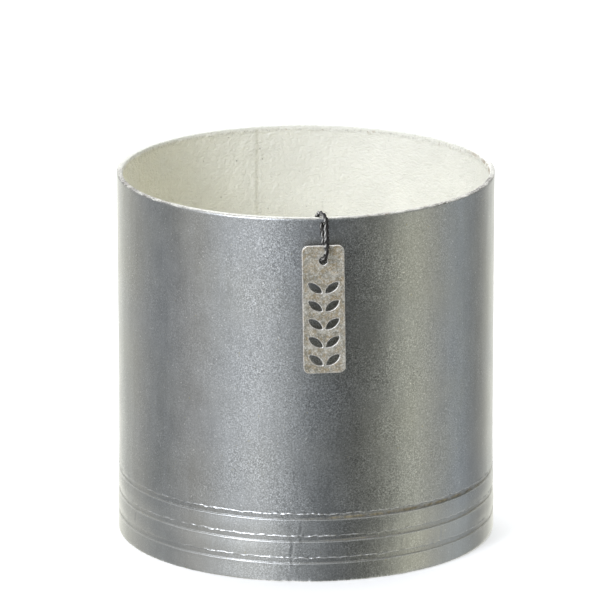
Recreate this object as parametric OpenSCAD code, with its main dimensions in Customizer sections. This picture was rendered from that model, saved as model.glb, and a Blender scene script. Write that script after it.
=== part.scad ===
// A round metal candle tin, open at the top and lined inside with a thick pale
// coat. A pierced metal tag hangs on a loop of waxed cord, which goes out through
// a small hole below the rim, through the tag, and back over the rim to a knot.
// The origin is at the middle of the base, +Z is up, and the tag hangs at -Y.

/* [Tin] */
// Outside diameter of the wall
tin_d = 120; // [110:1:140]
// Height from the standing edge to the top of the rim
tin_h = 118; // [110:1:140]
// Thickness of the rolled metal sheet
sheet_t = 0.8; // [0.6:0.1:1]
// Thickness of the pale coat on the inside of the wall
lining_t = 1.06; // [0.8:0.02:1.4]
// Height of the coat where it rolls over the top of the sheet
lip_h = 0.7; // [0.4:0.1:1]

/* [Grooves] */
// Height of the lowest groove above the standing edge
groove_first = 6.9; // [6:0.1:8]
// Distance from one groove to the next
groove_pitch = 7.1; // [6.5:0.1:8]
// Number of grooves round the foot of the wall
groove_count = 3; // [1:1:5]
// Width of a groove
groove_w = 2; // [1.2:0.2:3]
// Depth of a groove
groove_depth = 0.4; // [0.2:0.1:0.5]
// How far each band between two grooves swells outwards
band_bulge = 0.2; // [0:0.05:0.3]

/* [Base] */
// Height of the recess under the base
foot_h = 2.2; // [1.5:0.1:4]
// Thickness of the pale coat on the base
floor_t = 1; // [0.6:0.1:1.5]
// Leg of the sealing bead in the corner between wall and base
bead_leg = 1.6; // [1:0.1:3]

/* [Tag] */
// Width of the tag
tag_w = 13.2; // [12:0.1:15]
// Length of the tag
tag_l = 41; // [36:0.5:46]
// Thickness of the tag
tag_t = 1; // [0.8:0.1:1.2]
// Radius of the tag's corners
tag_corner = 2; // [0.8:0.1:3]
// Diameter of the hole that the cord goes through
tag_hole_d = 2.5; // [2.3:0.1:2.8]
// Distance from the top edge of the tag to the middle of its hole
tag_hole_down = 4.9; // [4:0.1:6]
// How far the tag leans sideways where it hangs, in degrees
tag_lean = 0.8; // [0:0.1:3]

/* [Leaf pattern] */
// Number of leaf pairs pierced through the tag
leaf_pairs = 5; // [3:1:5]
// Distance from one leaf pair to the next
leaf_pitch = 5.8; // [5.4:0.1:5.8]
// Length of a leaf
leaf_l = 5.4; // [4:0.1:5.6]
// Width of a leaf
leaf_w = 2.3; // [1.4:0.1:2.4]

/* [Cord] */
// Diameter of the waxed cord
cord_d = 1.3; // [1.1:0.1:1.4]
// Diameter of the hole in the wall
wall_hole_d = 2.5; // [2.3:0.1:2.8]

/* [Hidden] */
$fn = 160;

// Wall and base, from the outside in and from the foot up.
tin_r = tin_d / 2;
sheet_in_r = tin_r - sheet_t;
bore_r = sheet_in_r - lining_t;
sheet_h = tin_h - lip_h;
lip_round = 0.3;
base_t = 0.8;
flange_h = foot_h - 0.3;
base_top = foot_h + base_t;
floor_top = base_top + floor_t;
seam_angle = 101;
seam_w = 0.4;
seam_depth = 0.3;
wall_hole_z = tin_h - 2.4;

// Where the tag hangs: its middle plane, and the cord that it hangs from.
tag_y = -(tin_r + 3.6);
hang_z = 105.7;
hang_above_hole = 0.4;
stem_w = 1;
leaf_tilt = 38;
leaf_first = 9.4;

// The cord's middle line. Every bend has a radius of two cord diameters.
cord_r = cord_d / 2;
cord_sides = 8;
HOLE_RUN = [
    [-0.4, -56.3, 115.7], [-0.1, -57, 116.05], [0, -58, 116.1],
    [0, -59.15, 115.9], [0, -60.05, 115.3], [0, -60.5, 114.7]
];
LOOP_ROUTE = [
    [0.1, -60.7, 114.3], [0.35, -60.85, 113.35], [0.5, -60.85, 111.7],
    [0.45, -60.85, 110.1], [0.25, -60.85, 108.45], [0, -61.05, 107.4],
    [0, -61.65, 106.5], [0, -62.55, 105.9], [0, -63.6, 105.7],
    [0.1, -64.65, 105.9], [0.3, -65.55, 106.5], [0.55, -66.15, 107.4],
    [0.8, -66.35, 108.45], [0.95, -66, 109.8], [1.05, -65.1, 111.4],
    [1.1, -64, 113.3], [1.1, -63, 115.05], [1.15, -62.05, 116.7]
];
RIM_ROUTE = [
    [1.15, -61.6, 117.5], [1.05, -61.4, 117.85], [0.75, -60.8, 118.55],
    [0.3, -60, 119.05], [-0.25, -59.05, 119.2], [-0.7, -58.1, 119.05],
    [-1, -57.3, 118.55], [-1.2, -56.7, 117.85], [-1.25, -56.35, 116.95],
    [-1.1, -56.25, 116.2]
];
// The loop's upper end tapers to a round tip, so that it turns freely.
TIP = [[1.15, -61.85, 117.05], [1.1, -61.75, 117.2]];
TIP_SHARE = [0.8, 0.4];

// The knot and its two cut ends, against the inside of the wall.
knot_at = [-0.7, -55.7, 115.1];
knot_r = 1.9;
TAILS = [
    [[-1.1, -55.6, 114.6], [-2.3, -55.9, 109.1]],
    [[-0.3, -55.6, 114.6], [1.2, -55.7, 109.7]]
];

function groove_z(i) = groove_first + i * groove_pitch;

// Outline points of one groove, from its lower lip to its upper lip.
function groove_points(z) = [
    for (k = [-3:3]) [tin_r - groove_depth * (1 - pow(k / 3, 2)), z + k * groove_w / 6]
];

// Outline points of the swelling between the top of one groove and the next.
function band_points(from, to) = [
    for (k = [1:3]) [tin_r + band_bulge * sin(45 * k), from + (to - from) * k / 4]
];

// The outside of the wall: the foot, then each groove with the band above it.
function wall_outline() = [
    [tin_r - 0.1, 0],
    for (i = [0:groove_count - 1]) each concat(
        groove_points(groove_z(i)),
        i < groove_count - 1
            ? band_points(groove_z(i) + groove_w / 2, groove_z(i + 1) - groove_w / 2)
            : []
    )
];

function unit(v) = v / norm(v);

// Direction of a route at point i, from its neighbours.
function route_way(route, i) =
    unit(route[min(i + 1, len(route) - 1)] - route[max(i - 1, 0)]);

// The corners of one ring, square to the route at point i.
function ring(route, i, r) =
    let (
        way = route_way(route, i),
        side = unit([1, 0, 0] - way[0] * way),
        out = cross(way, side)
    )
    [for (k = [0:cord_sides - 1])
        let (a = 360 * (k + 0.5) / cord_sides)
        route[i] + r * (cos(a) * side + sin(a) * out)];

// A closed tube along a route, with a radius for each of its points.
module tube(route, radii) {
    n = cord_sides;
    last = len(route) - 1;
    points = [for (i = [0:last]) each ring(route, i, radii[i])];
    sides = [
        for (i = [0:last - 1], k = [0:n - 1])
        let (
            a = i * n + k,
            b = i * n + (k + 1) % n
        )
        each [[a, b + n, b], [a, a + n, b + n]]
    ];
    start_cap = [for (k = [0:n - 1]) k];
    end_cap = [for (k = [n - 1:-1:0]) last * n + k];
    polyhedron(points = points, faces = concat([start_cap], sides, [end_cap]));
}

// A straight length of cord.
module rod(from, to) {
    way = to - from;
    translate(from)
        rotate([0, acos(way[2] / norm(way)), atan2(way[1], way[0])])
            cylinder(r = cord_r, h = norm(way), $fn = 48);
}

module cord_tube(route) {
    tube(route, [for (p = route) cord_r]);
}

// A slot along the seam, which is open towards the given side of radius r.
module seam_slot(r) {
    rotate([0, 0, seam_angle])
        translate([r - seam_depth, -seam_w / 2, -1])
            cube([2 * seam_depth, seam_w, tin_h + 2]);
}

module wall_hole() {
    translate([0, -tin_r, wall_hole_z])
        rotate([90, 0, 0])
            cylinder(d = wall_hole_d, h = 4 * (sheet_t + lining_t), center = true);
}

module wall_shell() {
    color("#8f9294")
    difference() {
        rotate_extrude()
            polygon(concat(
                [[sheet_in_r, 0]],
                wall_outline(),
                [[tin_r, sheet_h], [sheet_in_r, sheet_h]]
            ));
        seam_slot(tin_r);
        wall_hole();
    }
}

module wall_lining() {
    color("#efeee2")
    difference() {
        rotate_extrude()
            polygon([
                [bore_r, base_top], [sheet_in_r, base_top], [sheet_in_r, sheet_h],
                [tin_r, sheet_h], [tin_r, tin_h - lip_round], [tin_r - lip_round, tin_h],
                [bore_r + lip_round, tin_h], [bore_r, tin_h - lip_round]
            ]);
        seam_slot(bore_r);
        wall_hole();
    }
}

// A disc with a flange turned down at its edge, pushed up inside the wall.
module base_plate() {
    color("#85888a")
    difference() {
        translate([0, 0, foot_h - flange_h])
            cylinder(r = sheet_in_r, h = flange_h + base_t);
        translate([0, 0, -1])
            cylinder(r = sheet_in_r - sheet_t, h = foot_h + 1);
    }
}

module base_lining() {
    color("#efeee2")
    translate([0, 0, base_top])
        cylinder(r = bore_r, h = floor_t);
}

module base_seal() {
    color("#e7e5d6")
    rotate_extrude()
        polygon([
            [bore_r, floor_top], [bore_r, floor_top + bead_leg],
            [bore_r - 0.3 * bead_leg, floor_top + 0.3 * bead_leg],
            [bore_r - bead_leg, floor_top]
        ]);
}

// A lens between two arcs, from the origin along +X.
module leaf() {
    r = (pow(leaf_l / 2, 2) + pow(leaf_w / 2, 2)) / leaf_w;
    intersection() {
        translate([leaf_l / 2, r - leaf_w / 2]) circle(r);
        translate([leaf_l / 2, leaf_w / 2 - r]) circle(r);
    }
}

module leaf_pair() {
    for (side = [0, 1])
        mirror([side, 0])
            translate([stem_w / 2, 0])
                rotate(leaf_tilt)
                    leaf();
}

// The outline of the tag, with the middle of its top edge at the origin.
module tag_outline() {
    inner = tag_corner;
    translate([-tag_w / 2 + inner, -tag_l])
        square([tag_w - 2 * inner, tag_l]);
    translate([-tag_w / 2, -tag_l + inner])
        square([tag_w, tag_l - 2 * inner]);
    for (x = [inner - tag_w / 2, tag_w / 2 - inner], y = [-inner, inner - tag_l])
        translate([x, y])
            circle(tag_corner);
}

module tag() {
    color("#a7a49c")
    translate([0, tag_y, hang_z])
        rotate([0, -tag_lean, 0])
            translate([0, tag_t / 2, tag_hole_down - hang_above_hole])
                rotate([90, 0, 0])
                    difference() {
                        linear_extrude(tag_t)
                            difference() {
                                tag_outline();
                                for (i = [0:leaf_pairs - 1])
                                    translate([0, -leaf_first - (i + 1) * leaf_pitch])
                                        leaf_pair();
                            }
                        translate([0, -tag_hole_down, -tag_t])
                            cylinder(d = tag_hole_d, h = 3 * tag_t);
                    }
}

module cord_loop() {
    color("#26241f")
    tube(
        concat(LOOP_ROUTE, TIP),
        concat([for (p = LOOP_ROUTE) cord_r], [for (s = TIP_SHARE) s * cord_r])
    );
}

module cord_hole_run() {
    color("#26241f")
    cord_tube(HOLE_RUN);
}

module cord_rim_turn() {
    color("#26241f")
    cord_tube(RIM_ROUTE);
}

module cord_knot() {
    color("#26241f")
    union() {
        translate(knot_at)
            rotate([90, 0, 0])
                sphere(knot_r, $fn = 48);
        for (tail = TAILS)
            rod(tail[0], tail[1]);
    }
}

wall_shell();
wall_lining();
base_plate();
base_lining();
base_seal();
tag();
cord_loop();
cord_hole_run();
cord_rim_turn();
cord_knot();
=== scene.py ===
"""A round candle tin in satin zinc with a thick pale lining and a pierced tag on a waxed cord.

The tin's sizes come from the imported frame. The cord's route and the tag's sizes repeat the
CAD's, and the rest are the finish's own. Lengths are millimetres in the constants and the mesh
code, unless a comment says otherwise, and metres in the settings and in Blender. The tin stands
on z = 0, and its tag hangs towards -Y.
"""

import math

import bpy
import numpy as np
from bpy.props import FloatProperty, FloatVectorProperty, IntProperty, PointerProperty
from mathutils import Matrix, Vector, noise


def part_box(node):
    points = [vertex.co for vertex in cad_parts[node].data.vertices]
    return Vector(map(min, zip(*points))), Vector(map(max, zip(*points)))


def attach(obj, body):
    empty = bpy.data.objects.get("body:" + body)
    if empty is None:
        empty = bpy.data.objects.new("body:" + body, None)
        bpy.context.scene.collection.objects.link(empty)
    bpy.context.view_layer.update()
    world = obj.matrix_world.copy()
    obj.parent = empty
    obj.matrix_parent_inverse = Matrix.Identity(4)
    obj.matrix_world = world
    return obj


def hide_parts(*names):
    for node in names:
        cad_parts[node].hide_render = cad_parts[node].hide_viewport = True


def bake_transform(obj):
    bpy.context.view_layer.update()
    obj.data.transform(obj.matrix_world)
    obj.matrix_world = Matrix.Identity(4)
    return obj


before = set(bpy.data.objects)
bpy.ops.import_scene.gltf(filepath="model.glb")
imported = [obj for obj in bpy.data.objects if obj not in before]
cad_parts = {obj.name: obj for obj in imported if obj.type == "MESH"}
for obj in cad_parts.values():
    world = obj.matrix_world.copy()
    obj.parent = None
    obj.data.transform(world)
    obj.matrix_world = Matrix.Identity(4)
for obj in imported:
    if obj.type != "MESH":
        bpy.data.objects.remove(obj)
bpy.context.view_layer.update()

bl_info = {
    "name": "Candle Tin",
    "version": (1, 0, 0),
    "blender": (4, 5, 0),
    "location": "View3D > Sidebar > Candle Tin",
    "description": "Makes a lined zinc candle tin with a pierced tag on a waxed cord",
    "category": "Object",
}

MM = 0.001
AROUND = 780  # columns round the wall and the lining

# Sizes of the frame, in millimetres.
RIM_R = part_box("wall_lining")[1].x / MM
RIM_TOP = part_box("wall_lining")[1].z / MM
SHEET_IN_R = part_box("base_plate")[1].x / MM
BORE_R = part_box("base_lining")[1].x / MM
BASE_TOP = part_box("base_plate")[1].z / MM
FLOOR_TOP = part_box("base_lining")[1].z / MM

WALL_R = 60.0  # the wall's radius, for what is laid out along it
SEAM_TURN = 101 / 360  # where the seams of wall and lining stand

# The cord's middle line, in millimetres: out of the knot through the wall, down behind the tag,
# through its hole, up in front of it, over the rim and back to the knot.
CORD_ROUTE_MM = (
    (-0.4, -56.3, 115.7), (-0.1, -57, 116.05), (0, -58, 116.1), (0, -59.15, 115.9),
    (0, -60.05, 115.3), (0, -60.5, 114.7),
    (0.1, -60.7, 114.3), (0.35, -60.85, 113.35), (0.5, -60.85, 111.7), (0.45, -60.85, 110.1),
    (0.25, -60.85, 108.45), (0, -61.05, 107.4), (0, -61.65, 106.5), (0, -62.55, 105.9),
    (0, -63.6, 105.7), (0.1, -64.65, 105.9), (0.3, -65.55, 106.5), (0.55, -66.15, 107.4),
    (0.8, -66.35, 108.45), (0.95, -66, 109.8), (1.05, -65.1, 111.4), (1.1, -64, 113.3),
    (1.1, -63, 115.05), (1.15, -62.05, 116.7),
    (1.15, -61.6, 117.5), (1.05, -61.4, 117.85), (0.75, -60.8, 118.55), (0.3, -60, 119.05),
    (-0.25, -59.05, 119.2), (-0.7, -58.1, 119.05), (-1, -57.3, 118.55),
    (-1.2, -56.7, 117.85), (-1.25, -56.35, 116.95), (-1.1, -56.25, 116.2),
)
KNOT_MM = (-0.7, -55.7, 115.1)
WALL_HOLE_Z_MM = 115.6
HIGHLIGHT_SIDE = (-0.93, -0.3, 0.2)  # the side of the cord that gets the painted highlight

# The tag's own frame: x across, z up from its cord hole, y through it.
TAG_W, TAG_L, TAG_T, TAG_CORNER = 13.2, 41.0, 1.0, 2.0
TAG_TOP = 4.9  # from the middle of the hole to the top edge
TAG_HOLE_R = 1.25
TAG_HANG_MM = (0, -63.6, 105.7)
TAG_BELOW_HANG = 0.4
TAG_LEAN = math.radians(0.8)
LEAF_PAIRS, LEAF_FIRST, LEAF_PITCH = 5, 9.4, 5.8
LEAF_L, LEAF_W, LEAF_TILT, STEM_W = 5.4, 2.3, math.radians(38), 1.0

# The three grooves round the foot: the height of each one's middle, and half its width.
GROOVE_AT = (6.9, 14.0, 21.1)
GROOVE_HALF = 0.95

# How strongly each thing shows round the tin, as (degrees, share), linear between them.
# Along the three grooves, from the lowest: torn foil on the upper lip, painted near white, partly bare
# foil and partly painted highlight.
LIP_FOIL = (
    ((0, 0.3), (60, 0.5), (120, 0.4), (180, 0.2), (200, 0.15), (210, 0.1), (222, 0.1),
     (231, 0.35), (238, 0.8), (245, 0.25), (255, 0.9), (264, 0.5), (274, 0.8), (283, 0.7),
     (295, 0.5), (307, 0.15), (320, 0.5), (332, 0.4), (345, 0.2)),
    ((0, 0.4), (60, 0.3), (120, 0.5), (180, 0.3), (200, 0.35), (210, 0.55), (222, 0.3),
     (231, 0.45), (238, 0.9), (245, 0.9), (255, 1), (264, 1), (274, 0.8), (283, 0.5),
     (295, 0.35), (307, 0.35), (320, 0.6), (332, 0.5), (345, 0.3)),
    ((0, 0.5), (60, 0.4), (120, 0.3), (180, 0.4), (200, 0.35), (210, 0.35), (222, 0.3),
     (231, 0.9), (238, 1), (245, 1), (255, 0.9), (264, 0.9), (274, 1), (283, 0.6),
     (295, 0.55), (307, 0.55), (320, 0.6), (332, 0.6), (345, 0.4)),
)
# Brown in the bottom of each groove.
LIP_BROWN = (
    ((0, 0.5), (60, 0.3), (120, 0.4), (180, 0.4), (200, 0.2), (210, 0.1), (255, 0.1),
     (264, 0.2), (274, 0.3), (283, 0.4), (295, 0.25), (307, 0.2), (320, 0.35), (332, 0.4),
     (345, 0.3)),
    ((0, 0.4), (60, 0.6), (120, 0.3), (180, 0.4), (200, 0.3), (210, 0.3), (222, 0.1),
     (264, 0.1), (274, 0.5), (283, 0.7), (295, 0.5), (307, 0.35), (320, 0.5), (332, 0.5),
     (345, 0.4)),
    ((0, 0.6), (60, 0.4), (120, 0.5), (180, 0.4), (200, 0.3), (210, 0.3), (222, 0.2),
     (238, 0.2), (245, 0.1), (255, 0.2), (264, 0.3), (274, 0.9), (283, 1), (307, 1),
     (320, 0.9), (332, 0.7), (345, 0.5)),
)
# The painted highlight along the edge below each groove, and the painted shade inside it.
LIP_CREST_HIGHLIGHT = (
    (0, 0.25), (90, 0.3), (180, 0.3), (205, 0.3), (225, 0.32), (290, 0.36), (312, 0.3), (330, 0.2)
)
GROOVE_DARK = ((180, 0.35), (215, 0.4), (235, 0.8), (290, 1), (325, 0.7), (350, 0.5))
# The sheet: gritty speckle, painted light that makes the metal paler low down, and a painted highlight
# on its standing foot edge.
SHEET_GRIT = ((0, 0.3), (180, 0.4), (235, 0.45), (250, 0.95), (290, 1), (310, 0.5), (350, 0.3))
SHEET_PAINTED_LIGHT = ((180, 0.2), (205, 0.3), (245, 0.3), (262, 0.12), (290, 0.12), (320, 0.4), (350, 0.4))
FOOT_HIGHLIGHT = ((0, 0.3), (180, 0.3), (245, 0.25), (262, 1), (285, 0.8), (300, 0.25))
# The rim: how ragged its roll is, how much soil and painted shade its roll gets, how much bare foil
# shows, and how far up it.
RIM_RAGGED = (
    (0, 0.35), (30, 0.3), (150, 0.3), (190, 1), (230, 1.5), (290, 1.5), (310, 0.9), (340, 0.4)
)
RIM_SOIL_AND_SHADE = (
    (20, 0.5), (60, 0.15), (120, 0.2), (180, 0.8), (215, 1), (265, 0.9), (285, 1.2), (320, 1.2),
    (350, 0.9),
)
RIM_FOIL = (
    (10, 0.3), (60, 0.05), (110, 0.05), (165, 0.3), (190, 1), (212, 0.95), (235, 0.45),
    (272, 0.5), (290, 0.85), (325, 1), (345, 1), (355, 0.5),
)
RIM_FOIL_REACH = (
    (20, 0.3), (60, 0.2), (180, 0.8), (212, 0.75), (235, 0.33), (275, 0.4), (300, 0.85), (350, 0.7)
)
# The lining: a darker yellow tint on its left side, partly yellowed coat and partly painted shade, and
# the brown line just inside the rim.
COAT_YELLOWING_AND_SHADE = ((0, 0), (60, 0), (110, 0.1), (150, 0.6), (200, 0.85), (250, 0.15), (300, 0))
COAT_STAINED = ((12, 0.8), (25, 0), (300, 0), (322, 0.5), (345, 1))

# Upright creases in the bands: place round the tin in degrees, from and to height, size.
CREASES = (
    (260.4, 4.0, 14.0, 0.09),
    (263.2, 12.0, 19.5, 0.06),
    (295.6, 8.5, 13.0, 0.08),
    (309.8, 8.0, 13.6, 0.09),
    (236.0, 9.0, 12.5, 0.06),
    (331.0, 15.5, 19.0, 0.07),
    (30.0, 8.0, 13.0, 0.08),
    (122.0, 14.0, 20.0, 0.07),
    (201.0, 8.5, 12.5, 0.08),
)

# The coat's section over the rim, from the sheet's outside to the bore: out from the rim's
# radius, and up from its top.
ROLL_OUTLINE = (
    (-0.2, -0.3), (-0.04, -0.34), (0.03, -0.3), (0.06, -0.24), (0.05, -0.17), (0.0, -0.1),
    (-0.1, -0.05), (-0.26, -0.02), (-0.45, 0.0), (-0.66, 0.01), (-0.88, 0.01), (-1.08, 0.0),
    (-1.26, -0.03), (-1.42, -0.08), (-1.56, -0.17), (-1.68, -0.3), (-1.76, -0.48), (-1.8, -0.72),
)

# The drilled hole for the cord, a little to one side of the cord's own line.
HOLE_R, HOLE_ASIDE, HOLE_WALL_R = 0.84, 0.15, 59.2

# The knot's short strand over its wraps, from its middle, and its two cut tails.
KNOT_OVER = ((-1.5, 0.3, 1.0), (-0.75, 1.25, 0.45), (0.35, 1.35, -0.25), (1.25, 0.55, -0.9))
KNOT_TAILS_MM = (
    ((-0.9, -55.7, 115.2), (-1.15, -55.5, 113.9), (-1.75, -55.45, 112.4), (-2.2, -55.7, 110.9),
     (-2.3, -55.95, 109.6)),
    ((-0.3, -55.7, 115.2), (-0.15, -55.35, 113.9), (0.55, -55.2, 112.6), (1.05, -55.4, 111.2),
     (1.15, -55.7, 110.3)),
)
# Radius over the crowns of the cord, of the knot's parts and of one frayed strand.
CORD_R, WRAP_R, OVER_R, TAIL_R, STRAND_R = 0.78, 0.62, 0.6, 0.64, 0.2

# The camera: lens and sensor in millimetres, distances in metres, angles in degrees.
LENS, SENSOR, SHIFT = 376.58, 36, (-0.0014, -0.0075)
CAMERA_SIDE, CAMERA_TILT = -4.78, 15.694
CAMERA_AWAY, CAMERA_UP = 1.9619, 0.626
LAMP_TINT = (0.955, 0.985, 1.085)
SKY_TOP = (0.28, 0.28, 0.24)

# The studio round the tin: degrees from the front, positive to the right, how bright it is there
# and its tint. Bright cards alternate with dark gaps.
FRONT_AT = -94.78  # direction from the tin to its front, in degrees from +X
WARM, CREAM, OLIVE = (1.07, 1.01, 0.92), (1.03, 1.03, 0.94), (1.09, 1.08, 0.83)
PLAIN, COOL, BLUE = (1, 1, 1), (0.95, 1, 1.05), (0.9, 1, 1.1)
SURROUND = (
    (-180, 2.6, WARM), (-159, 2.1, CREAM), (-149, 0.97, CREAM), (-139, 0.85, CREAM),
    (-124, 0.61, WARM), (-112, 0.48, COOL), (-102, 0.35, COOL), (-88, 0.24, BLUE),
    (-76, 0.6, WARM), (-65, 0.5, WARM), (-54, 0.6, COOL), (-44, 0.74, COOL),
    (-34, 1.1, PLAIN), (-25, 1.05, PLAIN), (-15, 0.63, COOL), (-8, 0.33, COOL),
    (8, 0.17, BLUE), (22, 0.14, PLAIN), (37, 0.056, OLIVE), (47, 0.145, CREAM),
    (57, 0.48, CREAM), (68, 1.2, OLIVE), (79, 0.5, WARM), (92, 0.37, PLAIN),
    (106, 0.78, BLUE), (123, 0.13, PLAIN), (137, 0.39, WARM), (149, 1.2, CREAM),
    (159, 1.85, CREAM),
)

# ---------------------------------------------------------------- settings


class CandleTinSettings(bpy.types.PropertyGroup):
    """Sizes and colours of the tin that a user would change"""

    zinc_colour: FloatVectorProperty(
        name="Zinc", description="Colour of the outside sheet",
        subtype="COLOR", size=3, min=0, max=1, default=(0.49, 0.505, 0.515),
    )
    zinc_gloss: FloatProperty(
        name="Zinc Roughness", description="Roughness of the outside sheet",
        subtype="FACTOR", min=0.1, max=0.8, default=0.4,
    )
    groove_depth: FloatProperty(
        name="Groove Depth", description="Depth of the three grooves round the foot",
        unit="LENGTH", min=0.0001, max=0.0008, default=0.0005,
    )
    lip_crumple: FloatProperty(
        name="Lip Crumple", description="Height of the torn folds along the upper groove lips",
        unit="LENGTH", min=0, max=0.0008, default=0.00042,
    )
    coat_colour: FloatVectorProperty(
        name="Coat", description="Colour of the thick coat inside",
        subtype="COLOR", size=3, min=0, max=1, default=(0.91, 0.903, 0.828),
    )
    coat_lumps: FloatProperty(
        name="Coat Lumps", description="Height of the soft lumps in the coat",
        unit="LENGTH", min=0, max=0.0004, default=0.0002,
    )
    pewter_colour: FloatVectorProperty(
        name="Pewter", description="Colour of the tag",
        subtype="COLOR", size=3, min=0, max=1, default=(0.67, 0.645, 0.57),
    )
    cord_colour: FloatVectorProperty(
        name="Cord", description="Colour of the waxed cord",
        subtype="COLOR", size=3, min=0, max=1, default=(0.011, 0.01, 0.009),
    )
    cord_lay: FloatProperty(
        name="Cord Lay", description="Length in which a strand of the cord turns once",
        unit="LENGTH", min=0.002, max=0.01, default=0.0062,
    )
    cord_strands: IntProperty(
        name="Cord Strands", description="Number of strands twisted into the cord",
        min=2, max=4, default=3,
    )
    light_power: FloatProperty(
        name="Light", description="Share of the studio light",
        subtype="FACTOR", min=0, max=2, soft_max=2, default=1,
    )


def settings():
    return bpy.context.scene.candle_tin


# ---------------------------------------------------------------- finishes

# A Mix node's sockets for colour, by number, since its other kinds share their names.
MIX_COLOUR_A, MIX_COLOUR_B, MIX_COLOUR_OUT = 6, 7, 2


class Wire:
    """A shader socket that takes part in ordinary arithmetic"""

    def __init__(self, finish, socket):
        self.finish, self.socket = finish, socket

    def _math(self, operation, *values):
        return self.finish.node("ShaderNodeMath", {"operation": operation}, *values)

    def __add__(self, other):
        return self._math("ADD", self, other)

    __radd__ = __add__

    def __mul__(self, other):
        return self._math("MULTIPLY", self, other)

    __rmul__ = __mul__

    def __sub__(self, other):
        return self._math("SUBTRACT", self, other)

    def __rsub__(self, other):
        return self._math("SUBTRACT", other, self)

    def __pow__(self, power):
        return self._math("POWER", self, power)

    def __gt__(self, level):
        return self._math("GREATER_THAN", self, level)

    def most(self, other):
        return self._math("MAXIMUM", self, other)

    def clipped(self):
        return self._math("MINIMUM", self._math("MAXIMUM", self, 0.0), 1.0)


class Finish:
    """A procedural material round one Principled shader, or the nodes of another tree"""

    def __init__(self, name, tree=None):
        if tree is None:
            self.material = bpy.data.materials.new(name)
            self.material.use_nodes = True
            tree = self.material.node_tree
            self.shader = tree.nodes["Principled BSDF"]
        self.tree = tree

    def node(self, kind, options, *values, out=0, slots=None, **named):
        """Adds a node: its settings first, then values or links for its sockets"""
        made = self.tree.nodes.new(kind)
        for key, value in options.items():
            if key == "stops":
                self._stops(made.color_ramp, value)
            else:
                setattr(made, key, value)
        for key, value in [*enumerate(values), *(slots or {}).items(), *named.items()]:
            self.feed(made.inputs[key], value)
        return Wire(self, made.outputs[out])

    def feed(self, socket, value):
        if isinstance(value, Wire):
            self.tree.links.new(value.socket, socket)
        else:
            socket.default_value = value

    @staticmethod
    def _stops(ramp, stops):
        while len(ramp.elements) < len(stops):
            ramp.elements.new(1)
        for element, (place, level) in zip(ramp.elements, stops, strict=True):
            colour = level if isinstance(level, tuple) else (level,) * 3
            element.position, element.color = place, (*colour, 1)

    def set(self, **sockets):
        """Sets or links the shader's sockets; an underscore in a name stands for a space"""
        for key, value in sockets.items():
            if isinstance(value, tuple) and len(value) == 3 and "Color" in key:
                value = (*value, 1)
            self.feed(self.shader.inputs[key.replace("_", " ")], value)

    def place(self):
        """Where a point lies on its own piece, in metres"""
        return self.node("ShaderNodeTexCoord", {}, out="Object")

    def marks(self, name):
        """A value from 0 to 1 that the mesh holds at each point"""
        return self.node(
            "ShaderNodeAttribute", {"attribute_name": name}, out="Fac"
        )

    def stretched(self, vector, x, y, z):
        return self.node(
            "ShaderNodeVectorMath", {"operation": "MULTIPLY"}, vector, (x, y, z)
        )

    def grain(self, vector, size_mm, detail=2.0, roughness=0.5, shift=0.0, distortion=0.0):
        """Noise from 0 to 1 with lumps of about that size"""
        moved = self.node(
            "ShaderNodeVectorMath", {"operation": "ADD"}, vector, (shift, shift * 0.7, shift * 0.3)
        )
        return self.node(
            "ShaderNodeTexNoise", {}, Vector=moved, Scale=1000 / size_mm, Detail=detail,
            Roughness=roughness, Distortion=distortion,
        )

    def ramp(self, value, *stops):
        """Eases a value between (place, level) stops"""
        return self.node("ShaderNodeValToRGB", {"stops": stops}, value)

    def mix(self, factor, first, second):
        """Colour that goes from first to second"""
        full = [(*c, 1) if isinstance(c, tuple) and len(c) == 3 else c for c in (first, second)]
        slots = {MIX_COLOUR_A: full[0], MIX_COLOUR_B: full[1]}
        return self.node(
            "ShaderNodeMix", {"data_type": "RGBA"}, factor, out=MIX_COLOUR_OUT, slots=slots
        )

    def relief(self, height, depth_mm, strength=1.0, under=None):
        """A normal bumped by a height from 0 to 1"""
        named = {"Height": height, "Strength": strength, "Distance": depth_mm * MM}
        if under is not None:
            named["Normal"] = under
        return self.node("ShaderNodeBump", {}, **named)


def shade(colour, share):
    """A colour lighter or darker by that share"""
    return tuple(min(1.0, c * share) for c in colour)


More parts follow.
